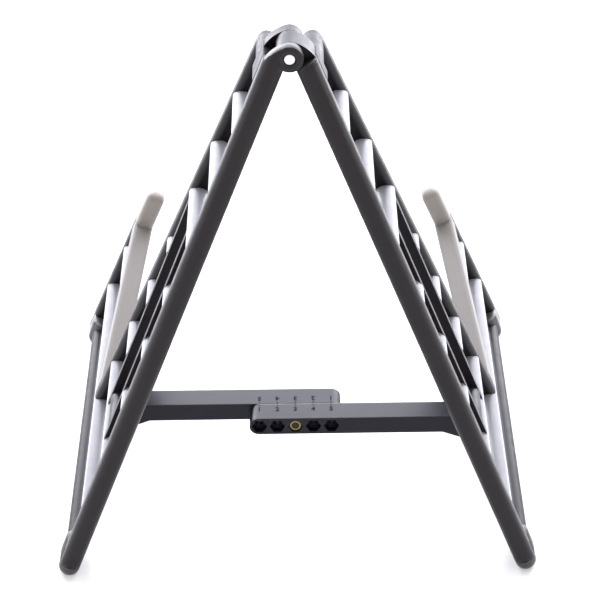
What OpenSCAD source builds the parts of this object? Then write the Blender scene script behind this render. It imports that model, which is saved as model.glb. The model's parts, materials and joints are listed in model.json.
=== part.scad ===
// Folding A-frame guitar stand: two lattice side frames hinged at the top, held open
// by a pair of bolted spreader bars. Millimetres, +Z up, floor at Z = 0.
// Each side frame is laid out flat in three directions: n outward from the fold plane,
// y from the back of the stand to its front, s down the frame from the hinge axis.

/* [Stance] */
// Lean of each side frame from the vertical when the stand is open
open_lean = 21; // [16:0.5:24]
// Gap between the two side frames when the stand is folded flat
fold_gap = 0.5; // [0.3:0.1:2]
// Lean of the back rails and front posts along the frame
rest_lean = 13.3; // [10:0.1:15]
// Rise of the arms that carry the guitar
arm_rise = 23; // [20:0.5:25]

/* [Rails] */
// Thickness of a side frame
rail_t = 12.5; // [11:0.1:14]
// Width of the legs, back rails and posts seen from the side
rail_w = 12.5; // [11:0.1:14]
// Corner radius of the rails
rail_round = 4.2; // [2:0.1:5]
// Length of a rear leg from the hinge axis to its rubber foot
leg_len = 376; // [370:1:390]
// Distance of the back rail from the back of the stand, at the hinge axis
back_rail_y = 38.8; // [37:0.2:44]
// Distance of the front post from the back rail
seat_depth = 139; // [125:1:150]
// Height of the front tip above the foot end of the leg, along the frame
tip_rise = 137; // [132:1:146]

/* [Rungs] */
// Diameter of the rungs
rung_d = 12; // [10:0.2:12.4]
// Distance of the first rung from the hinge axis
rung_first = 57.4; // [54:0.2:60]
// Height of the last rung above the foot end of the leg
last_rung_rise = 41.3; // [40:0.1:48]
// Extra drop of the rungs beside the spreader slot
slot_rung_drop = 2.9; // [1:0.1:4]
// Height of the base tube above the foot end of the leg
base_rise = 2.7; // [2:0.1:6]
// Diameter of the base tube
base_d = 9; // [8:0.2:12]
// Collar diameter where a rung meets a rail
collar_d = 12.4; // [12.4:0.1:12.6]
// Length of a collar
collar_len = 2; // [1:0.2:3]

/* [Spreader slot] */
// Thickness of the two ribs that line the slot
rib_w = 4.4; // [3:0.1:5]
// Distance from the back of the stand to the slot
slot_y = 31.2; // [30:0.1:34]
// Side clearance of the bars in the slot
slot_clear = 0.3; // [0.2:0.05:0.8]

/* [Spreader bars] */
// Height of a spreader bar
bar_h = 11.5; // [10:0.1:12]
// Depth of a spreader bar
bar_w = 15.6; // [14:0.1:17]
// Free length of a bar past the middle hole
bar_tail = 28; // [27:0.5:32]
// Distance from the pivot to where the underside of a bar starts to flare
flare_start = 19; // [16:0.5:24]
// Distance from the pivot to the deepest point of the flare
flare_root = 7.5; // [6.5:0.5:10]
// Depth of the flare
flare_drop = 4.4; // [2:0.1:5]
// Distance of the bar pivots above the upper cross rung
pivot_rise = 9.1; // [8.5:0.1:11]
// Distance between neighbouring bolt holes
hole_pitch = 11; // [10.5:0.1:12]
// Number of bolt holes in each bar
hole_count = 5; // [3:2:5]
// Space between the hub of a bar and the saddle in the rung under it
hub_gap = 0.4; // [0.3:0.1:1]
// Diameter of the bar pivot pins
pivot_d = 5; // [4:0.1:6]

/* [Bolt and nut] */
// Thread diameter of the clamp bolt
bolt_d = 5; // [4:0.1:5.5]
// Width across flats of the nut and of the bolt head
hex_af = 8; // [7.5:0.1:8.5]
// Height of the nut
nut_h = 4; // [3:0.1:5]
// Height of the bolt head
head_h = 3.5; // [3:0.1:5]
// Depth of the hexagonal pockets
pocket_depth = 5; // [4.2:0.1:6]
// Play around the nut, the bolt head and the bolt
bolt_play = 0.15; // [0.1:0.05:0.3]
// Gap in the bolt at the plane where the two bars meet
bolt_split = 0.3; // [0.2:0.05:0.5]

/* [Hinge] */
// Radius of the hinge knuckles
knuckle_r = 7.5; // [7:0.1:8]
// Diameter of the hinge pin
pin_d = 5.8; // [5:0.1:6.4]
// Width of the outer knuckle at the back
knuckle_a = 6.3; // [5:0.1:7]
// Width of the wide knuckle next to it
knuckle_b = 14; // [12:0.1:15]
// Width of the front knuckle
knuckle_c = 7.3; // [6:0.1:8]
// Side play between two knuckles
knuckle_gap = 0.3; // [0.1:0.05:0.5]
// Radius of the arc that carries each knuckle to the frame
lug_arc = 22; // [18:0.5:28]
// Radial play of a moving knuckle or bar on its pin
pin_play = 0.06; // [0.03:0.01:0.1]
// Depth of the recess around the end of the pin
pin_recess = 1.4; // [1:0.1:2]
// Distance from the hinge axis to the top of the legs
head_top = 6.6; // [6.2:0.1:8]
// Length of the solid head that carries the knuckles, along the frame
head_len = 17; // [14:0.5:20]
// Distance from the top of the legs to the short tube that joins the back rail
rung_drop = 11.6; // [10:0.1:14]
// Distance from the top of the legs to the rounded top of the back rails
rail_drop = 6; // [5:0.5:8]

/* [Rubber] */
// Radius of the rubber feet
foot_r = 6.6; // [6.4:0.1:7.5]
// Length of a rubber foot before its round end
foot_len = 2; // [1.5:0.5:6]
// Height of the flat worn on the round end of each foot
foot_flat = 1; // [0.5:0.1:2]
// Thickness of the rubber over the arms
pad_t = 3; // [2:0.1:4]
// Width of the rubber over the arms and tips
pad_w = 12.4; // [11:0.1:12.4]
// Side wall of the rubber over the arms and tips
pad_wall = 1.5; // [1:0.1:2]
// Length of the rubber tip cover
tip_cover = 29; // [24:0.5:32]
// Thickness of the rubber on the back face of a tip
tip_pad_t = 2.5; // [2:0.1:4]

/* [Hidden] */
$fn = 96;

LEFT = -1;
RIGHT = 1;
inner_n = fold_gap / 2;
outer_n = inner_n + rail_t;
mid_n = inner_n + rail_t / 2;
rung_r = rung_d / 2;
slant = tan(rest_lean);
lean_w = rail_w / cos(rest_lean);

// Places of the rungs down the frame; the last three run right to the front post
rung_pitch = (leg_len - last_rung_rise - slot_rung_drop - rung_first) / 7;
rung_s = [for (k = [0:7]) rung_first + rung_pitch * k + (k > 2 ? slot_rung_drop : 0)];
slot_top_rung = 2;
slot_end_rung = 6;
base_s = leg_len - base_rise;
head_s = head_top + rung_drop;
rail_top = head_top + rail_drop;

// Spreader slot, between its two ribs
slot_w = 2 * bar_w + 2 * slot_clear;
slot_front = slot_y + slot_w;
rib_t = rail_t - 1;
bar_split_y = slot_y + slot_clear + bar_w;

// Middle lines of the back rail and of the front post at a distance s down the frame
function back_mid(s) = back_rail_y + lean_w / 2 + slant * s;
function post_mid(s) = back_mid(s) + seat_depth;

// Front tip and arm
tip_s = leg_len - tip_rise;
arm_slope = tan(arm_rise);
arm_core_t = pad_w - 2 * pad_wall;
arm_core_h = 11;
core_round = 2.5;
pad_round = 2;
pad_low = 3.5;
arm_top = arm_core_h / 2 + pad_t;
knee_s = tip_s + tip_cover;
knee_y = post_mid(knee_s) - lean_w / 2 - tip_pad_t;
arm_end_s = knee_s + arm_top / cos(arm_rise);
function arm_mid(y) = arm_end_s + (knee_y - y) * arm_slope;
arm_root_s = (arm_end_s + (knee_y - back_rail_y - lean_w / 2) * arm_slope) / (1 + slant * arm_slope);
arm_root_y = back_mid(arm_root_s);

// Stance
foot_s = leg_len + foot_len;
hinge_z = foot_s * cos(open_lean) - mid_n * sin(open_lean) + foot_r - foot_flat;
back_y = rail_w / 2 - foot_r;
front_y = post_mid(foot_s) + foot_r;
shift_y = -(back_y + front_y) / 2;

// Spreader bar pivots
hub_r = bar_h / 2;
pivot_s = rung_s[slot_end_rung] - pivot_rise;
pivot_x = mid_n * cos(open_lean) + pivot_s * sin(open_lean);
pivot_z = hinge_z + mid_n * sin(open_lean) - pivot_s * cos(open_lean);

// Hinge stack along y
knuckle_b0 = knuckle_a + knuckle_gap;
knuckle_c0 = knuckle_b0 + knuckle_b + knuckle_gap;
stack_end = knuckle_c0 + knuckle_c;
swing_r = knuckle_r + 0.5;
recess_ring = 0.8;
clip_t = 1.2;
pin_inset = 0.4;
far = 600;

black = [0.13, 0.12, 0.13];
grey_rubber = [0.62, 0.58, 0.56];
bar_black = [0.2, 0.2, 0.23];
zinc = [0.78, 0.79, 0.8];
yellow_brass = [0.72, 0.6, 0.25];

// Stands a flat frame layout up on its side of the stand
module placed(side) {
    mirror([side == LEFT ? 1 : 0, 0, 0])
        translate([0, shift_y, hinge_z])
            rotate([0, -open_lean, 0])
                children();
}

module in_world() {
    translate([0, shift_y, 0])
        children();
}

module round_rect(w, h, r) {
    square([w - 2 * r, h], center = true);
    square([w, h - 2 * r], center = true);
    for (sx = [-1, 1], sy = [-1, 1])
        translate([sx * (w / 2 - r), sy * (h / 2 - r)])
            circle(r);
}

// Extrudes a profile drawn in n and -s over a stretch of y
module across(y0, y1) {
    translate([0, y1, 0])
        rotate([90, 0, 0])
            linear_extrude(y1 - y0)
                children();
}

module slab(s0, s1) {
    translate([-far / 2, -far / 2, -s1])
        cube([far, far * 1.5, s1 - s0]);
}

module leg_bar(s0, s1) {
    translate([mid_n, rail_w / 2, -s1])
        linear_extrude(s1 - s0)
            round_rect(rail_t, rail_w, rail_round);
}

// A leaning rail whose middle line passes y at the hinge axis
module leaning_bar(y, w, t, r) {
    translate([mid_n, y, 0])
        rotate([rest_lean, 0, 0])
            translate([0, 0, -far])
                linear_extrude(far)
                    round_rect(t, w, r);
}

// A round bar across the side frame
module rung(s, y0, y1, d = rung_d) {
    translate([mid_n, y0, -s])
        rotate([-90, 0, 0])
            cylinder(h = y1 - y0, d = d);
}

// Low collar where a rung leaves the leg
module collar(s) {
    rung(s, rail_w / 2, rail_w / 2 + collar_len, collar_d);
}

// Side view of a curved lug: an arc that leaves the knuckle at a tangent and runs out to
// the outer face of the frame
module lug_profile() {
    arc_n = outer_n - lug_arc;
    arc_s = sqrt(pow(lug_arc - knuckle_r, 2) - pow(arc_n, 2));
    intersection() {
        translate([arc_n, -arc_s])
            circle(lug_arc);
        rotate(atan2(arc_s, -arc_n))
            translate([-far, -far])
                square([2 * far, far]);
        translate([inner_n, -arc_s])
            square([rail_t, arc_s + knuckle_r]);
    }
}

module pin_bore(r) {
    translate([0, -far / 2, 0])
        rotate([-90, 0, 0])
            cylinder(h = far, r = r);
}

module knuckle(y0, y1) {
    across(y0, y1)
        circle(knuckle_r);
}

// The lug of the outer knuckle has the rounded section of the leg that it grows out of
module rear_leg_solid(side) {
    leg_bar(head_top, leg_len);
    if (side == LEFT) {
        knuckle(0, knuckle_a);
        intersection() {
            leg_bar(-knuckle_r, leg_len);
            across(0, knuckle_a)
                lug_profile();
        }
    }
}

// Knuckle and lug of a head, square in section
module head_lug(y0, y1) {
    knuckle(y0, y1);
    across(y0, y1)
        lug_profile();
}

// Room for a knuckle of the other side frame to turn in
module swing_room(y0, y1) {
    across(y0, y1)
        circle(swing_r);
}

module rear_leg(side) {
    color(black)
        placed(side)
            difference() {
                rear_leg_solid(side);
                if (side == LEFT) {
                    pin_bore(pin_d / 2);
                    translate([0, -1, 0])
                        rotate([-90, 0, 0])
                            cylinder(h = 1 + pin_recess, r = pin_d / 2 + recess_ring);
                    swing_room(knuckle_a, rail_w + 1);
                }
                if (side == RIGHT)
                    swing_room(-1, rail_w + 1);
            }
}

// The back rail ends in a rounded top beside the head
module back_rail_solid() {
    intersection() {
        leaning_bar(back_mid(0), rail_w, rail_t, rail_round);
        union() {
            slab(rail_top + rail_t / 2, rung_s[7] - rung_r / 2);
            translate([mid_n, 0, -rail_top - rail_t / 2])
                rotate([-90, 0, 0])
                    cylinder(h = far / 2, d = rail_t);
        }
    }
}

// Solid head between the leg and the last knuckle, and the short tube from it to the back rail
module head_solid(side) {
    head_end = side == LEFT ? stack_end : knuckle_c0 - knuckle_gap;
    difference() {
        union() {
            across(rail_w - 2, head_end)
                translate([inner_n, -head_top - head_len])
                    square([rail_t, head_len]);
            rung(head_s, head_end - 1, back_mid(head_s));
        }
        swing_room(-1, far / 2);
    }
    if (side == LEFT)
        head_lug(knuckle_c0, knuckle_c0 + knuckle_c);
    if (side == RIGHT)
        head_lug(knuckle_b0, knuckle_b0 + knuckle_b);
}

module head(side) {
    color(black)
        placed(side)
            difference() {
                head_solid(side);
                leg_bar(head_top, leg_len);
                back_rail_solid();
                pin_bore(side == LEFT ? pin_d / 2 : pin_d / 2 + pin_play);
            }
}

module back_rail(side) {
    color(black)
        placed(side)
            difference() {
                back_rail_solid();
                rung(rung_s[7], 0, far / 2);
            }
}

// Rib beside the spreader slot, from the last upper rung to the upper cross rung
module rib(side, y) {
    rib_len = rung_s[slot_end_rung] - rung_s[slot_top_rung];
    color(black)
        placed(side)
            difference() {
                translate([mid_n - rib_t / 2, y, -rung_s[slot_end_rung]])
                    cube([rib_t, rib_w, rib_len]);
                for (k = [slot_top_rung, slot_end_rung])
                    rung(rung_s[k], 0, far / 2);
                rung(pivot_s, 0, far / 2, pivot_d);
            }
}

module rails_cut(side) {
    rear_leg_solid(side);
    back_rail_solid();
}

// The rungs above the slot run straight from the leg to the back rail
module upper_rungs(side) {
    color(black)
        placed(side)
            difference() {
                for (k = [0:slot_top_rung]) {
                    rung(rung_s[k], rail_w / 2, back_mid(rung_s[k]));
                    collar(rung_s[k]);
                }
                rails_cut(side);
            }
}

// Beside the slot each rung is cut in two, on either side of the ribs
module slot_rungs(side) {
    color(black)
        placed(side)
            difference() {
                for (k = [slot_top_rung + 1:slot_end_rung - 1]) {
                    rung(rung_s[k], rail_w / 2, slot_y - rib_w);
                    collar(rung_s[k]);
                    rung(rung_s[k], slot_front + rib_w, back_mid(rung_s[k]));
                }
                rails_cut(side);
            }
}

// The upper cross rung stops at the back rail, leaves the seat clear and goes on from the
// arm to the front post. A saddle in it clears the hubs of the spreader bars.
module upper_cross_rung() {
    s = rung_s[slot_end_rung];
    arm_y = knee_y - (s - arm_end_s) / arm_slope;
    difference() {
        union() {
            rung(s, rail_w / 2, back_mid(s));
            rung(s, arm_y, post_mid(s));
            collar(s);
        }
        back_rail_solid();
        arm_core(0);
        arm_pad_outer();
        rung(pivot_s, slot_y, slot_front, bar_h + 2 * hub_gap);
    }
}

// Two long rungs that carry the front post and the arm
module cross_rungs(side) {
    color(black)
        placed(side)
            difference() {
                union() {
                    upper_cross_rung();
                    rung(rung_s[7], rail_w / 2, post_mid(rung_s[7]));
                    collar(rung_s[7]);
                }
                rear_leg_solid(side);
                front_post_solid();
            }
}

module base_tube(side) {
    color(black)
        placed(side)
            difference() {
                rung(base_s, rail_w / 2, post_mid(base_s), base_d);
                rear_leg_solid(side);
                front_post_solid();
                foot_solid(rail_w / 2, 0);
                foot_solid(post_mid(foot_s), rest_lean);
            }
}

// The post is slimmer inside its rubber tip cover
module front_post_solid() {
    intersection() {
        leaning_bar(post_mid(0), rail_w, rail_t, rail_round);
        slab(knee_s, leg_len);
    }
    intersection() {
        leaning_bar(post_mid(0), rail_w - 2 * pad_wall, arm_core_t, core_round);
        slab(tip_s + pad_t, knee_s + 1);
    }
}

module front_post(side) {
    color(black)
        placed(side)
            front_post_solid();
}

// Lays a profile along the arm; its x is n and its y points away from the seat
module along_arm(from_y, to_y) {
    run = (to_y - from_y) / cos(arm_rise);
    translate([mid_n, from_y, -arm_mid(from_y)])
        rotate([arm_rise - 90, 0, 0])
            linear_extrude(run)
                children();
}

module arm_core(back) {
    along_arm(arm_root_y - back, post_mid(arm_end_s))
        round_rect(arm_core_t, arm_core_h, core_round);
}

module arm(side) {
    color(black)
        placed(side)
            difference() {
                arm_core(0);
                front_post_solid();
                back_rail_solid();
                rung(rung_s[7], 0, far / 2);
            }
}

module arm_pad_outer() {
    along_arm(arm_root_y, post_mid(knee_s))
        translate([0, (pad_low - arm_top) / 2])
            round_rect(pad_w, arm_top + pad_low, pad_round);
}

module arm_pad(side) {
    color(grey_rubber)
        placed(side)
            difference() {
                arm_pad_outer();
                arm_core(2 * rail_w);
                back_rail_solid();
                front_post_solid();
                tip_cover_outer();
                rung(rung_s[7], 0, far / 2);
            }
}

// Rubber over the tip: flat back face, round top
module tip_cover_outer() {
    cover_w = rail_w + tip_pad_t;
    end_r = 9;
    cover_y = post_mid(tip_s) - tip_pad_t / 2;
    intersection() {
        leaning_bar(post_mid(0) - tip_pad_t / 2, cover_w, pad_w, pad_round);
        slab(tip_s, knee_s);
        union() {
            translate([mid_n, cover_y, -tip_s - end_r])
                sphere(end_r);
            slab(tip_s + end_r, knee_s);
        }
    }
}

module tip_cover(side) {
    color(grey_rubber)
        placed(side)
            difference() {
                tip_cover_outer();
                front_post_solid();
            }
}

module below_floor() {
    translate([-far, -far, -far])
        cube([2 * far, 2 * far, far]);
}

// Rubber foot on the end of a leg or post: a short sleeve with a round end
module foot_solid(y, tilt) {
    sleeve = 4 * foot_len;
    intersection() {
        translate([mid_n, y, -foot_s])
            rotate([tilt, 0, 0])
                rotate_extrude()
                    intersection() {
                        union() {
                            circle(foot_r);
                            square([foot_r, sleeve]);
                        }
                        translate([0, -foot_r])
                            square([foot_r, foot_r + sleeve]);
                    }
        slab(leg_len, foot_s + 2 * foot_r);
    }
}

// The foot is worn flat where it meets the floor
module foot(side, y, tilt) {
    color(grey_rubber * 0.35)
        difference() {
            placed(side)
                foot_solid(y, tilt);
            below_floor();
        }
}

module bar_pin(side) {
    color(zinc)
        placed(side)
            rung(pivot_s, slot_y - rib_w, slot_front + rib_w, pivot_d);
}

// Profile of a spreader bar, pivot at the origin and free end towards -x
module bar_profile() {
    circle(hub_r);
    translate([-pivot_x - bar_tail + hub_r, 0])
        circle(hub_r);
    translate([-pivot_x - bar_tail + hub_r, -hub_r])
        square([pivot_x + bar_tail - hub_r, bar_h]);
    polygon([[-flare_start, 1 - hub_r], [-flare_start, -hub_r], [-flare_root, -hub_r - flare_drop],
        [-hub_r / 2, 1 - hub_r]]);
}

module hex(af, h) {
    cylinder(h = h, d = af / cos(30), $fn = 6);
}

module spreader(side, y0, pocket_at_back) {
    hole_xs = [for (k = [0:hole_count - 1]) (k - (hole_count - 1) / 2) * hole_pitch];
    color(bar_black)
        in_world()
            mirror([side == LEFT ? 1 : 0, 0, 0])
                translate([0, 0, pivot_z])
                    difference() {
                        union() {
                            translate([pivot_x, 0, 0])
                                across(y0, y0 + bar_w)
                                    bar_profile();
                            translate([pivot_x, 0, 0])
                                across(slot_y + slot_clear, slot_front - slot_clear)
                                    circle(hub_r);
                        }
                        translate([pivot_x, 0, 0])
                            pin_bore(pivot_d / 2 + pin_play);
                        for (x = hole_xs) {
                            translate([x, 0, 0])
                                rotate([-90, 0, 0])
                                    cylinder(h = far / 2, r = bolt_d / 2 + bolt_play);
                            translate([x, pocket_at_back ? y0 - 1 : y0 + bar_w - pocket_depth, 0])
                                rotate([-90, 0, 0])
                                    hex(hex_af + 2 * bolt_play, pocket_depth + 1);
                        }
                    }
}

module clamp_nut() {
    color(yellow_brass)
        in_world()
            translate([0, slot_y + slot_clear + pocket_depth - nut_h, pivot_z])
                rotate([-90, 0, 0])
                    difference() {
                        hex(hex_af, nut_h);
                        translate([0, 0, -1])
                            cylinder(h = nut_h + 2, r = bolt_d / 2 + 0.02);
                    }
}

module clamp_bolt_end() {
    start = slot_y + slot_clear + 0.6;
    color(zinc)
        in_world()
            translate([0, start, pivot_z])
                rotate([-90, 0, 0])
                    cylinder(h = bar_split_y - bolt_split / 2 - start, d = bolt_d);
}

module clamp_bolt_head() {
    seat = bar_split_y + bar_w - pocket_depth;
    color(zinc)
        in_world()
            translate([0, 0, pivot_z]) {
                translate([0, seat, 0])
                    rotate([-90, 0, 0])
                        hex(hex_af, head_h);
                translate([0, bar_split_y + bolt_split / 2, 0])
                    rotate([-90, 0, 0])
                        cylinder(h = seat + 0.5 - bar_split_y - bolt_split / 2, d = bolt_d);
            }
}

module hinge_pin() {
    color(zinc)
        in_world()
            translate([0, pin_inset, hinge_z])
                rotate([-90, 0, 0])
                    cylinder(h = stack_end + knuckle_gap + clip_t + 0.8 - pin_inset, d = pin_d);
}

module hinge_pin_clip() {
    color(zinc)
        in_world()
            translate([0, stack_end + knuckle_gap, hinge_z])
                rotate([-90, 0, 0])
                    difference() {
                        cylinder(h = clip_t, r = knuckle_r - 1.5);
                        translate([0, 0, -1])
                            cylinder(h = clip_t + 2, d = pin_d);
                    }
}

rear_leg(LEFT);  // left_rear_leg
head(LEFT);  // left_head
back_rail(LEFT);  // left_back_rail
rib(LEFT, slot_y - rib_w);  // left_rear_rib
rib(LEFT, slot_front);  // left_front_rib
upper_rungs(LEFT);  // left_upper_rungs
slot_rungs(LEFT);  // left_slot_rungs
cross_rungs(LEFT);  // left_cross_rungs
base_tube(LEFT);  // left_base_tube
front_post(LEFT);  // left_front_post
arm(LEFT);  // left_arm
arm_pad(LEFT);  // left_arm_pad
tip_cover(LEFT);  // left_tip_cover
foot(LEFT, rail_w / 2, 0);  // left_rear_foot
foot(LEFT, post_mid(foot_s), rest_lean);  // left_front_foot
bar_pin(LEFT);  // left_bar_pin
spreader(LEFT, bar_split_y, false);  // left_bar
clamp_bolt_head();
rear_leg(RIGHT);  // right_rear_leg
head(RIGHT);  // right_head
back_rail(RIGHT);  // right_back_rail
rib(RIGHT, slot_y - rib_w);  // right_rear_rib
rib(RIGHT, slot_front);  // right_front_rib
upper_rungs(RIGHT);  // right_upper_rungs
slot_rungs(RIGHT);  // right_slot_rungs
cross_rungs(RIGHT);  // right_cross_rungs
base_tube(RIGHT);  // right_base_tube
front_post(RIGHT);  // right_front_post
arm(RIGHT);  // right_arm
arm_pad(RIGHT);  // right_arm_pad
tip_cover(RIGHT);  // right_tip_cover
foot(RIGHT, rail_w / 2, 0);  // right_rear_foot
foot(RIGHT, post_mid(foot_s), rest_lean);  // right_front_foot
bar_pin(RIGHT);  // right_bar_pin
spreader(RIGHT, slot_y + slot_clear, true);  // right_bar
clamp_bolt_end();
clamp_nut();
hinge_pin();
hinge_pin_clip();
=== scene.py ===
import json
import math
import bmesh
import bpy
from mathutils import Matrix, Vector


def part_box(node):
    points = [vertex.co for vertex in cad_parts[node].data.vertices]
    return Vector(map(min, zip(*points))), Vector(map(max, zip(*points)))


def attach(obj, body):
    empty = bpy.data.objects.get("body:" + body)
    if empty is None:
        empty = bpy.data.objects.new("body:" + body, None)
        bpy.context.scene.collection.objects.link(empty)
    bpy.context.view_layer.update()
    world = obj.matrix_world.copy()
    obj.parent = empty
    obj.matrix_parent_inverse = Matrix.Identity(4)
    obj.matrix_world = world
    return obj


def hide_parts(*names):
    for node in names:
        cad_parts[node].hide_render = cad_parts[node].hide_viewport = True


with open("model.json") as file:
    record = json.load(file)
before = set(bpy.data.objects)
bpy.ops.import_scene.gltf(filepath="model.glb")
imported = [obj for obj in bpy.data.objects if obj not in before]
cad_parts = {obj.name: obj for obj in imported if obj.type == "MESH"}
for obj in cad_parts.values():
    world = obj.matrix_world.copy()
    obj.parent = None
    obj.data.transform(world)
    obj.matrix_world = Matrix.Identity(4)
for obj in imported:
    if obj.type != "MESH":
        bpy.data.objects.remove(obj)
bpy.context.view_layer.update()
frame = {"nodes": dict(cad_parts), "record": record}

# Sizes are in metres unless a name says otherwise.
# Read from the frame: the hinge, the back of the stand, the bars' shared plane and their top, and
# the lean of a side frame, which is half of the whole fold.
JOINTS = {joint["name"]: joint for joint in frame["record"]["behaviour"]["joints"]}
HINGE = Vector(JOINTS["fold_hinge"]["pos_m"])
BACK_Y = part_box("left_rear_leg")[0][1]
SEAM_Y = JOINTS["right_bar_pivot"]["pos_m"][1]
BAR_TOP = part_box("right_bar")[1][2]
LEAN = math.radians(JOINTS["fold_hinge"]["range_deg"][1] / 2)
SIDES = (("left", -1), ("right", 1))

# Camera: where the photographer stood, measured from the hinge's axis at the back of the legs.
CAM_OFFSET = Vector((0.0038, -1.054, 0.538))
CAM_DOWN = math.radians(33.23)
CAM_ROLL = math.radians(0.783)
CAM_FOCAL_PX = 2212.6
IMAGE_PX = 600
SENSOR_MM = 36.0

# Numbers and ticks on the clamped ends of the spreader bars.
NUMBER_COUNT = 5
NUMBER_PITCH = 0.011
NUMBER_TALL = 0.004
DIGIT_SHARE = 0.7               # a digit's height as a share of the font's size
NUMBER_SQUEEZE = 0.82
NUMBER_PROUD = 0.00006
NUMBER_BOLD = 0.0002
NUMBER_FROM_SEAM = 0.0057
TICK_SIZE = (0.0007, 0.0018)
TICK_FROM_SEAM = 0.0014
TICK_ROUND_SHARE = 0.48         # the radius of its ends as a share of its width

# The middle plane of a side frame, out from the hinge.
FRAME_OUT = 0.0065

# Rubber shoes around the ends of the base tubes. FOOT_DOWN runs down the frame from the hinge.
FOOT_R = 0.0063
FOOT_DOWN = 0.378
SHOE_WALL = 0.012
SHOE_REACH = 0.0137
SHOE_EDGE = 0.0008
SHOE_ARC_STEPS = 24
SHOE_END_STEPS = 10
SHOE_END_STEP_DEG = 8.8

# Rubber tips of the arms: distances down the frame from the hinge, half sizes and the round end.
# A tip's axis slants, and TIP_Y is where it would reach the hinge's level.
TIP_DOWN = 0.2378
KNEE_DOWN = 0.268
TIP_SLANT = math.tan(math.radians(13.3))
TIP_Y = 0.04306
TIP_HALF_ACROSS = 0.0062
TIP_HALF_ALONG = 0.0077
TIP_END = 0.0068
TIP_FULLNESS = 2.5              # 2 is a ball's end, and more is fuller
TIP_SQUARE = 4.6                # 2 is an oval outline, and more is squarer
TIP_SLEEVE_RINGS = (0.022, 0.015, 0.01)
TIP_END_STEPS = 10
TIP_END_STEP_DEG = 9
TIP_POINTS = 48
PIP_R = 0.0009
PIP_ACROSS = 0.0048
PIP_DOWN = 0.2575
PIP_FLATNESS = 0.5

# The bright ring in the nut's pocket.
RING_R = 0.0028
RING_WIRE = 0.0004
RING_POINTS = 40

# The mould line on the bars: its distance below their top, the half widths of its crest and of
# its foot, and its rise as a multiple of the grain's.
MOULD_LINE_DROP = 0.0058
MOULD_LINE_CORE = 0.0001
MOULD_LINE_HALF = 0.00035
MOULD_LINE_RISE = 6.0

# Studio: the floor's reach, and its glow, which grows with the distance from the stand.
FLOOR_REACH = 1.5
GLOW_FROM = 0.35
GLOW_TO = 1.1
GLOW_NEAR = 0.28
GLOW_FAR = 0.7
WHITE = (1, 1, 1)
COOL_WHITE = (0.9, 0.91, 1.0)


def make_camera():
    """The photograph's camera, looking along +Y and down."""
    right = Vector((1, 0, 0))
    up = Vector((0, math.sin(CAM_DOWN), math.cos(CAM_DOWN)))
    back = Vector((0, -math.cos(CAM_DOWN), math.sin(CAM_DOWN)))
    cam_right = right * math.cos(CAM_ROLL) - up * math.sin(CAM_ROLL)
    cam_up = right * math.sin(CAM_ROLL) + up * math.cos(CAM_ROLL)
    data = bpy.data.cameras.new("camera")
    data.sensor_width = SENSOR_MM
    data.lens = CAM_FOCAL_PX / IMAGE_PX * SENSOR_MM
    cam = bpy.data.objects.new("camera", data)
    place = Vector((0, BACK_Y, HINGE.z)) + CAM_OFFSET
    turn = Matrix((cam_right, cam_up, back)).transposed().to_4x4()
    cam.matrix_world = Matrix.Translation(place) @ turn
    bpy.context.collection.objects.link(cam)
    bpy.context.scene.camera = cam


# Material building blocks

def new_material(name):
    """A new material, its node tree and its shader."""
    mat = bpy.data.materials.new(name)
    mat.use_nodes = True
    tree = mat.node_tree
    return mat, tree, tree.nodes["Principled BSDF"]


def add_node(tree, kind, **values):
    """A new node, with its inputs or settings given by name."""
    node = tree.nodes.new(kind)
    for key, value in values.items():
        if key in node.inputs:
            node.inputs[key].default_value = value
        else:
            setattr(node, key, value)
    return node


def object_coords(tree):
    """Coordinates that stay with the piece when it moves."""
    return tree.nodes.new("ShaderNodeTexCoord").outputs["Object"]


def noise(tree, coords, scale, detail=3.0, rough=0.5):
    """Cloudy noise, mostly between 0.3 and 0.7."""
    node = add_node(tree, "ShaderNodeTexNoise", Scale=scale, Detail=detail, Roughness=rough)
    tree.links.new(coords, node.inputs["Vector"])
    return node.outputs["Fac"]


def map_range(tree, value, source, target):
    """Maps a value from the source range to the target range, held at both ends."""
    node = tree.nodes.new("ShaderNodeMapRange")
    for key, number in zip(("From Min", "From Max", "To Min", "To Max"), (*source, *target)):
        node.inputs[key].default_value = number
    tree.links.new(value, node.inputs["Value"])
    return node.outputs["Result"]


def mix_colours(tree, factor, a, b):
    """Mixes two colours, each a tuple or another node's output."""
    node = tree.nodes.new("ShaderNodeMix")
    node.data_type = "RGBA"
    sockets = [s for s in node.inputs if s.type == "RGBA"]
    for socket, colour in zip(sockets, (a, b)):
        if isinstance(colour, tuple):
            socket.default_value = (*colour, 1)
        else:
            tree.links.new(colour, socket)
    tree.links.new(factor, node.inputs[0])
    return [s for s in node.outputs if s.type == "RGBA"][0]


def arithmetic(tree, operation, a, b):
    """One operation on two values, each a number or another node's output."""
    node = add_node(tree, "ShaderNodeMath", operation=operation)
    for socket, value in zip(node.inputs, (a, b)):
        if isinstance(value, (int, float)):
            socket.default_value = value
        else:
            tree.links.new(value, socket)
    return node.outputs["Value"]


def soft_edges(tree, radius):
    """Normals rounded over the edges, and a 0 to 1 mask of where those edges are."""
    bevel = add_node(tree, "ShaderNodeBevel", samples=4)
    bevel.inputs["Radius"].default_value = radius
    geometry = tree.nodes.new("ShaderNodeNewGeometry")
    dot = add_node(tree, "ShaderNodeVectorMath", operation="DOT_PRODUCT")
    tree.links.new(bevel.outputs["Normal"], dot.inputs[0])
    tree.links.new(geometry.outputs["Normal"], dot.inputs[1])
    mask = map_range(tree, dot.outputs["Value"], source=(0.99, 0.75), target=(0.0, 1.0))
    return bevel.outputs["Normal"], mask


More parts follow.
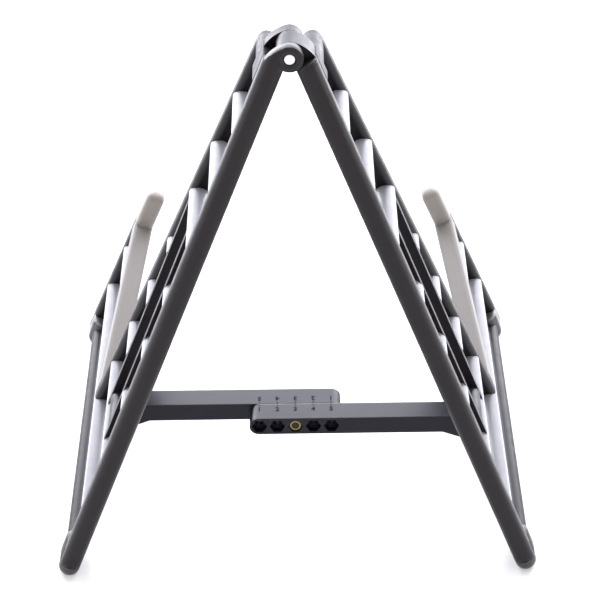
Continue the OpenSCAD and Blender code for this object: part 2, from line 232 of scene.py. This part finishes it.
def bump(tree, shader, height, strength, distance, normal):
    """Adds a fine relief to the shader, on top of the rounded normals."""
    node = add_node(tree, "ShaderNodeBump", Strength=strength, Distance=distance)
    tree.links.new(height, node.inputs["Height"])
    tree.links.new(normal, node.inputs["Normal"])
    tree.links.new(node.outputs["Normal"], shader.inputs["Normal"])


def mould_line(tree, coords, height, line_z):
    """Adds the fine ridge that a mould's parting leaves at one height to a relief."""
    axes = tree.nodes.new("ShaderNodeSeparateXYZ")
    tree.links.new(coords, axes.inputs["Vector"])
    above = arithmetic(tree, "SUBTRACT", axes.outputs["Z"], line_z)
    distance = arithmetic(tree, "ABSOLUTE", above, 0.0)
    source = (MOULD_LINE_CORE, MOULD_LINE_HALF)
    ridge = map_range(tree, distance, source, target=(MOULD_LINE_RISE, 0.0))
    return arithmetic(tree, "ADD", height, ridge)


# Materials

def plastic(name, dark, light, edge, rough, ior, edge_round, haze, mould_line_z=None):
    """Moulded plastic: cloudy colour, uneven gloss, a painted highlight that lightens the edges in
    patches, and a fine spark-eroded grain.

    Haze is a pale bloom, which the rungs show in the photograph.
    """
    mat, tree, shader = new_material(name)
    coords = object_coords(tree)
    normal, rim = soft_edges(tree, edge_round)
    body = mix_colours(tree, noise(tree, coords, scale=45, detail=4), dark, light)
    # Painted highlight: the paler edge colour laid along the rounded edges, broken up by noise.
    edge_highlight = arithmetic(tree, "MULTIPLY", rim, noise(tree, coords, scale=300, detail=3))
    tree.links.new(mix_colours(tree, edge_highlight, body, edge), shader.inputs["Base Color"])
    patches = noise(tree, coords, scale=140, detail=4)
    gloss = map_range(tree, patches, source=(0.3, 0.7), target=(rough - 0.05, rough + 0.07))
    tree.links.new(gloss, shader.inputs["Roughness"])
    shader.inputs["IOR"].default_value = ior
    shader.inputs["Sheen Weight"].default_value = haze
    shader.inputs["Sheen Roughness"].default_value = 0.55
    shader.inputs["Sheen Tint"].default_value = (0.92, 0.92, 1.0, 1)
    height = noise(tree, coords, scale=2400, detail=2)
    if mould_line_z is not None:
        height = mould_line(tree, coords, height, mould_line_z)
    bump(tree, shader, height, strength=0.3, distance=0.00002, normal=normal)
    return mat


def rubber(name, dark, light, edge, rough):
    """Soft rubber: matt, with a mottle, a painted highlight that makes the edges paler, and a fine
    skin.
    """
    mat, tree, shader = new_material(name)
    coords = object_coords(tree)
    normal, rim = soft_edges(tree, radius=0.0006)
    mottle = noise(tree, coords, scale=90, detail=5, rough=0.6)
    body = mix_colours(tree, mottle, dark, light)
    # Painted highlight: the paler edge colour laid along the rounded edges.
    tree.links.new(mix_colours(tree, rim, body, edge), shader.inputs["Base Color"])
    gloss = map_range(tree, mottle, source=(0.2, 0.8), target=(rough - 0.06, rough + 0.1))
    tree.links.new(gloss, shader.inputs["Roughness"])
    shader.inputs["Sheen Weight"].default_value = 0.2
    shader.inputs["Sheen Roughness"].default_value = 0.4
    skin = noise(tree, coords, scale=1500, detail=3)
    bump(tree, shader, skin, strength=0.45, distance=0.00004, normal=normal)
    return mat


def metal(name, dark, light, rough):
    """Plated metal: a mottled plate with a fine grain and rounded edges."""
    mat, tree, shader = new_material(name)
    coords = object_coords(tree)
    normal = soft_edges(tree, radius=0.0003)[0]
    stain = noise(tree, coords, scale=500, detail=4)
    tree.links.new(mix_colours(tree, stain, dark, light), shader.inputs["Base Color"])
    gloss = map_range(tree, stain, source=(0.3, 0.7), target=(rough - 0.06, rough + 0.08))
    tree.links.new(gloss, shader.inputs["Roughness"])
    shader.inputs["Metallic"].default_value = 1.0
    grain = noise(tree, coords, scale=3000, detail=2)
    bump(tree, shader, grain, strength=0.2, distance=0.00001, normal=normal)
    return mat


def print_ink(name, dark, light):
    """Stamped numbers: a near-black ink that covers unevenly and reflects almost nothing."""
    mat, tree, shader = new_material(name)
    coords = object_coords(tree)
    cover = noise(tree, coords, scale=900, detail=4)
    tree.links.new(mix_colours(tree, cover, dark, light), shader.inputs["Base Color"])
    patches = noise(tree, coords, scale=1400, detail=2)
    gloss = map_range(tree, patches, source=(0.2, 0.8), target=(0.45, 0.65))
    tree.links.new(gloss, shader.inputs["Roughness"])
    shader.inputs["Specular IOR Level"].default_value = 0.02
    return mat


# The low IORs keep the black plastic dark in the white room.
# The edge colours of the plastics and rubbers are painted highlights along their rounded edges.
MATERIALS = {
    "frame_plastic": plastic(
        "frame_plastic",
        dark=(0.003, 0.002, 0.003),
        light=(0.006, 0.004, 0.006),
        edge=(0.03, 0.026, 0.03),
        rough=0.4,
        ior=1.27,
        edge_round=0.0006,
        haze=0.02,
    ),
    "rung_plastic": plastic(
        "rung_plastic",
        dark=(0.005, 0.004, 0.006),
        light=(0.009, 0.007, 0.01),
        edge=(0.03, 0.026, 0.03),
        rough=0.42,
        ior=1.42,
        edge_round=0.0005,
        haze=0.8,
    ),
    # The leg's wide, pale edge band is a painted highlight on its rounded sides.
    "leg_plastic": plastic(
        "leg_plastic",
        dark=(0.004, 0.002, 0.003),
        light=(0.008, 0.004, 0.006),
        edge=(0.05, 0.044, 0.05),
        rough=0.36,
        ior=1.33,
        edge_round=0.0045,
        haze=0.02,
    ),
    "bar_plastic": plastic(
        "bar_plastic",
        dark=(0.003, 0.003, 0.007),
        light=(0.006, 0.006, 0.012),
        edge=(0.03, 0.03, 0.045),
        rough=0.34,
        ior=1.3,
        edge_round=0.0012,
        haze=0.0,
        mould_line_z=BAR_TOP - MOULD_LINE_DROP,
    ),
    "grey_rubber": rubber(
        "grey_rubber",
        dark=(0.12, 0.11, 0.102),
        light=(0.165, 0.152, 0.142),
        edge=(0.23, 0.215, 0.2),
        rough=0.6,
    ),
    "tip_rubber": rubber(
        "tip_rubber",
        dark=(0.165, 0.145, 0.13),
        light=(0.215, 0.19, 0.175),
        edge=(0.29, 0.265, 0.245),
        rough=0.55,
    ),
    "foot_rubber": rubber(
        "foot_rubber",
        dark=(0.012, 0.011, 0.013),
        light=(0.024, 0.022, 0.025),
        edge=(0.05, 0.045, 0.05),
        rough=0.42,
    ),
    "zinc_steel": metal("zinc_steel", dark=(0.55, 0.56, 0.54), light=(0.78, 0.8, 0.78), rough=0.3),
    # Painted shade: the brass nut is made near black for the shadow in its pocket; only its ring
    # keeps the brass.
    "nut_painted_shade": metal("nut_painted_shade", dark=(0.02, 0.018, 0.012), light=(0.06, 0.05, 0.03), rough=0.4),
    # Painted shade: the zinc bolt end is made near black for the shadow in the nut's pocket.
    "bolt_end_painted_shade": metal(
        "bolt_end_painted_shade", dark=(0.012, 0.011, 0.009), light=(0.05, 0.045, 0.035), rough=0.35
    ),
    "brass_nut": metal("brass_nut", dark=(0.34, 0.26, 0.09), light=(0.55, 0.45, 0.2), rough=0.34),
    "number_ink": print_ink("number_ink", dark=(0.004, 0.004, 0.012), light=(0.012, 0.012, 0.025)),
}

# Nodes that look different from the rest of their slot.
# The clamp's nut and bolt end take dark finishes that are painted shade.
OWN_FINISH = {"clamp_bolt_end": "bolt_end_painted_shade", "clamp_nut": "nut_painted_shade"}
for side_name, _ in SIDES:
    OWN_FINISH[f"{side_name}_rear_leg"] = "leg_plastic"
    for group in ("upper", "slot", "cross"):
        OWN_FINISH[f"{side_name}_{group}_rungs"] = "rung_plastic"


def dress_nodes():
    """Gives every CAD node the material of its slot, or its own finish."""
    for part in frame["record"]["subparts"]:
        obj = frame["nodes"][part["node"]]
        obj.data.materials.clear()
        finish = OWN_FINISH.get(part["node"], part["material_slot"])
        obj.data.materials.append(MATERIALS[finish])


# Making pieces

def add_piece(name, data, body, material):
    """A new piece with one material and riding on a body."""
    obj = bpy.data.objects.new(name, data)
    data.materials.append(MATERIALS[material])
    bpy.context.collection.objects.link(obj)
    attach(obj, body)
    return obj


def join_rings(shape, rings):
    """Joins rings of points with quads, one ring to the next, and closes both ends."""
    made = [[shape.verts.new(point) for point in ring] for ring in rings]
    for first, second in zip(made, made[1:]):
        for k in range(len(first)):
            after = (k + 1) % len(first)
            shape.faces.new((first[k], first[after], second[after], second[k]))
    for ring in (made[0], made[-1]):
        shape.faces.new(ring)


def smooth_outside(shape):
    """Turns all faces outwards and shades them smooth, apart from the flat ends."""
    bmesh.ops.recalc_face_normals(shape, faces=shape.faces)
    for face in shape.faces:
        face.smooth = len(face.verts) <= 4


def take_mesh(shape, name):
    """The finished shape as a mesh."""
    mesh = bpy.data.meshes.new(name)
    shape.to_mesh(mesh)
    shape.free()
    return mesh


# The numbers on the spreader bars

def number_mesh(name, text, centre, turn):
    """One number as a thin raised mesh lying on a bar's top, centred on a point."""
    curve = bpy.data.curves.new(name, "FONT")
    curve.body = text
    curve.size = NUMBER_TALL / DIGIT_SHARE
    curve.align_x = "CENTER"
    curve.align_y = "CENTER"
    curve.extrude = NUMBER_PROUD
    curve.offset = NUMBER_BOLD
    curve.resolution_u = 6
    shaper = bpy.data.objects.new(name, curve)
    bpy.context.collection.objects.link(shaper)
    graph = bpy.context.evaluated_depsgraph_get()
    mesh = bpy.data.meshes.new_from_object(shaper.evaluated_get(graph))
    bpy.data.objects.remove(shaper)
    squeeze = Matrix.Diagonal((NUMBER_SQUEEZE, 1, 1, 1))
    mesh.transform(Matrix.Translation(centre) @ Matrix.Rotation(turn, 4, "Z") @ squeeze)
    mesh.materials.clear()
    return mesh


def tick_mesh(name, centre):
    """A short raised line with rounded ends beside a number."""
    wide, tall = TICK_SIZE
    shape = bmesh.new()
    bmesh.ops.create_cube(shape, size=1)
    bmesh.ops.scale(shape, vec=(wide, tall, 2 * NUMBER_PROUD), verts=shape.verts)
    upright = [e for e in shape.edges if abs(e.verts[0].co.z - e.verts[1].co.z) > NUMBER_PROUD]
    bmesh.ops.bevel(shape, geom=upright, offset=wide * TICK_ROUND_SHARE, segments=4, affect="EDGES")
    bmesh.ops.translate(shape, vec=centre, verts=shape.verts)
    return take_mesh(shape, name)


def number_bar(body, node, facing):
    """Numbers and their ticks along the clamped end of one bar, read from its own side."""
    from_behind = facing < 0
    turn = 0.0 if from_behind else math.pi
    for place in range(NUMBER_COUNT):
        x = (place - (NUMBER_COUNT - 1) / 2) * NUMBER_PITCH
        label = str(place + 1 if from_behind else NUMBER_COUNT - place)
        centre = Vector((x, SEAM_Y + facing * NUMBER_FROM_SEAM, BAR_TOP))
        number = number_mesh(f"number_{label}", label, centre, turn)
        add_piece(f"{node}_number_{label}", number, body, "number_ink")
        tick_centre = Vector((x, SEAM_Y + facing * TICK_FROM_SEAM, BAR_TOP))
        tick = tick_mesh(f"tick_{label}", tick_centre)
        add_piece(f"{node}_tick_{label}", tick, body, "number_ink")


# Rubber shoes, rubber tips and the ring in the nut

def shoe_section(width):
    """The shoe's outline across the base tube, from one top edge round the underside to the other."""
    half = width * FOOT_R
    turns = [math.pi * (1 + k / SHOE_ARC_STEPS) for k in range(SHOE_ARC_STEPS + 1)]
    low = [(half * math.cos(turn), half * math.sin(turn)) for turn in turns]
    edge = min(SHOE_EDGE, half / 2)
    top = [(half, SHOE_WALL - edge), (half - edge, SHOE_WALL)]
    return low + top + [(-across, up) for across, up in reversed(top)]


def shoe_mesh(name, side, y, toward):
    """A foot's shoe: straight beside the leg, round at its end on the base tube, flattened below."""
    out = Vector((side * math.cos(LEAN), 0, math.sin(LEAN)))
    up = Vector((-side * math.sin(LEAN), 0, math.cos(LEAN)))
    centre = Vector((0, y, HINGE.z)) + out * FRAME_OUT - up * FOOT_DOWN
    stations = [(0.0, 1.0), (SHOE_REACH, 1.0)]
    for k in range(1, SHOE_END_STEPS + 1):
        turn = math.radians(k * SHOE_END_STEP_DEG)
        stations.append((SHOE_REACH + FOOT_R * math.sin(turn), math.cos(turn)))
    rings = []
    for along, width in stations:
        ring = []
        for across, rise in shoe_section(width):
            point = centre + out * across + up * rise + Vector((0, toward * along, 0))
            point.z = max(point.z, 0.0)
            ring.append(point)
        rings.append(ring)
    shape = bmesh.new()
    join_rings(shape, rings)
    smooth_outside(shape)
    return take_mesh(shape, name)


def make_shoes():
    """A shoe at each of the four feet, reaching from it along the base tube."""
    for name, side in SIDES:
        for place, toward in (("rear", 1), ("front", -1)):
            node = f"{name}_{place}_foot"
            low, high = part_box(node)
            mesh = shoe_mesh(f"{node}_shoe", side, (low[1] + high[1]) / 2, toward)
            add_piece(f"{node}_shoe", mesh, f"{name}_frame", "foot_rubber")


def tip_point(side, across, along, down):
    """A point of an arm's tip, from its place across, along and down the frame."""
    x = side * (across * math.cos(LEAN) + down * math.sin(LEAN))
    z = HINGE.z + across * math.sin(LEAN) - down * math.cos(LEAN)
    return Vector((x, TIP_Y + TIP_SLANT * down + along, z))


def tip_ring(side, depth):
    """The tip's squarish outline at a depth below its end, smaller where the end is round."""
    short = max(0.0, 1 - depth / TIP_END)
    scale = (1 - short ** TIP_FULLNESS) ** (1 / TIP_FULLNESS)
    power = 2 / TIP_SQUARE
    ring = []
    for k in range(TIP_POINTS):
        turn = 2 * math.pi * k / TIP_POINTS
        across = math.copysign(abs(math.cos(turn)) ** power, math.cos(turn))
        along = math.copysign(abs(math.sin(turn)) ** power, math.sin(turn))
        place = FRAME_OUT + TIP_HALF_ACROSS * scale * across
        ring.append(tip_point(side, place, TIP_HALF_ALONG * scale * along, TIP_DOWN + depth))
    return ring


def tip_mesh(name, side):
    """A rubber tip: a squarish sleeve with a full round end and a small moulding pip."""
    depths = [KNEE_DOWN - TIP_DOWN, *TIP_SLEEVE_RINGS]
    for k in range(TIP_END_STEPS):
        depths.append(TIP_END * (1 - math.sin(math.radians(k * TIP_END_STEP_DEG))))
    shape = bmesh.new()
    join_rings(shape, [tip_ring(side, depth) for depth in depths])
    pip = bmesh.ops.create_uvsphere(shape, u_segments=16, v_segments=8, radius=PIP_R)["verts"]
    bmesh.ops.scale(shape, vec=(1, PIP_FLATNESS, 1), verts=pip)
    pip_centre = tip_point(side, PIP_ACROSS, -TIP_HALF_ALONG, PIP_DOWN)
    bmesh.ops.translate(shape, vec=pip_centre, verts=pip)
    smooth_outside(shape)
    return take_mesh(shape, name)


def make_tips():
    """A rubber tip on each arm, in place of the plain CAD one."""
    for name, side in SIDES:
        mesh = tip_mesh(f"{name}_tip_rubber", side)
        tip = add_piece(f"{name}_tip_rubber", mesh, f"{name}_frame", "tip_rubber")
        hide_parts(f"{name}_tip_cover")


def make_nut_ring():
    """The bright chamfer round the nut's thread."""
    low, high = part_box("clamp_nut")
    centre_x = (low[0] + high[0]) / 2
    centre_z = (low[2] + high[2]) / 2
    curve = bpy.data.curves.new("nut_ring", "CURVE")
    curve.dimensions = "3D"
    curve.bevel_depth = RING_WIRE
    curve.bevel_resolution = 4
    spline = curve.splines.new("POLY")
    spline.points.add(RING_POINTS - 1)
    for k, point in enumerate(spline.points):
        turn = 2 * math.pi * k / RING_POINTS
        x = centre_x + RING_R * math.cos(turn)
        z = centre_z + RING_R * math.sin(turn)
        point.co = (x, low[1], z, 1)
    spline.use_cyclic_u = True
    add_piece("nut_ring", curve, "right_spreader", "brass_nut")


# Studio

def make_floor():
    """Pale paper that glows a little, more so with the distance."""
    mesh = bpy.data.meshes.new("floor")
    corners = [(-1, -1), (1, -1), (1, 1), (-1, 1)]
    mesh.from_pydata([(x * FLOOR_REACH, y * FLOOR_REACH, 0) for x, y in corners], [], [(0, 1, 2, 3)])
    floor = bpy.data.objects.new("floor", mesh)
    mat, tree, shader = new_material("floor_paper")
    coords = object_coords(tree)
    fibre = noise(tree, coords, scale=400, detail=3)
    paper = mix_colours(tree, fibre, (0.48, 0.48, 0.48), (0.5, 0.5, 0.5))
    tree.links.new(paper, shader.inputs["Base Color"])
    shader.inputs["Roughness"].default_value = 0.8
    shader.inputs["Emission Color"].default_value = (*WHITE, 1)
    distance = add_node(tree, "ShaderNodeVectorMath", operation="LENGTH")
    tree.links.new(coords, distance.inputs[0])
    reach = distance.outputs["Value"]
    glow = map_range(tree, reach, source=(GLOW_FROM, GLOW_TO), target=(GLOW_NEAR, GLOW_FAR))
    tree.links.new(glow, shader.inputs["Emission Strength"])
    mesh.materials.append(mat)
    bpy.context.collection.objects.link(floor)


def area_light(name, place, target, size, power, colour):
    """A soft box that lights the stand and isn't seen by the camera itself."""
    data = bpy.data.lights.new(name, "AREA")
    data.shape = "RECTANGLE"
    data.size, data.size_y = size
    data.energy = power
    data.color = colour
    lamp = bpy.data.objects.new(name, data)
    lamp.location = place
    lamp.rotation_euler = (Vector(target) - Vector(place)).to_track_quat("-Z", "Y").to_euler()
    lamp.visible_camera = False
    bpy.context.collection.objects.link(lamp)


def make_light():
    """A white room, with soft boxes behind, above and at both sides of the stand."""
    world = bpy.data.worlds.new("studio")
    bpy.context.scene.world = world
    world.use_nodes = True
    back = world.node_tree.nodes["Background"]
    back.inputs["Color"].default_value = (*WHITE, 1)
    back.inputs["Strength"].default_value = 1.0
    area_light(
        "backdrop",
        place=(0, 1.6, 0.64),
        target=(0, 0, 0.64),
        size=(3.0, 1.28),
        power=115,
        colour=COOL_WHITE,
    )
    area_light(
        "overhead",
        place=(0, 0.7, 1.7),
        target=(0, 0, 0.1),
        size=(2.4, 1.2),
        power=75,
        colour=COOL_WHITE,
    )
    for _, side in SIDES:
        area_light(
            "side",
            place=(side * 1.8, -0.4, 0.45),
            target=(0, -0.1, 0.3),
            size=(1.2, 0.9),
            power=15,
            colour=WHITE,
        )
    bpy.context.scene.view_settings.view_transform = "Standard"


make_camera()
dress_nodes()
number_bar("right_spreader", "right_bar", facing=-1)
number_bar("left_spreader", "left_bar", facing=1)
make_shoes()
make_tips()
make_nut_ring()
make_floor()
make_light()
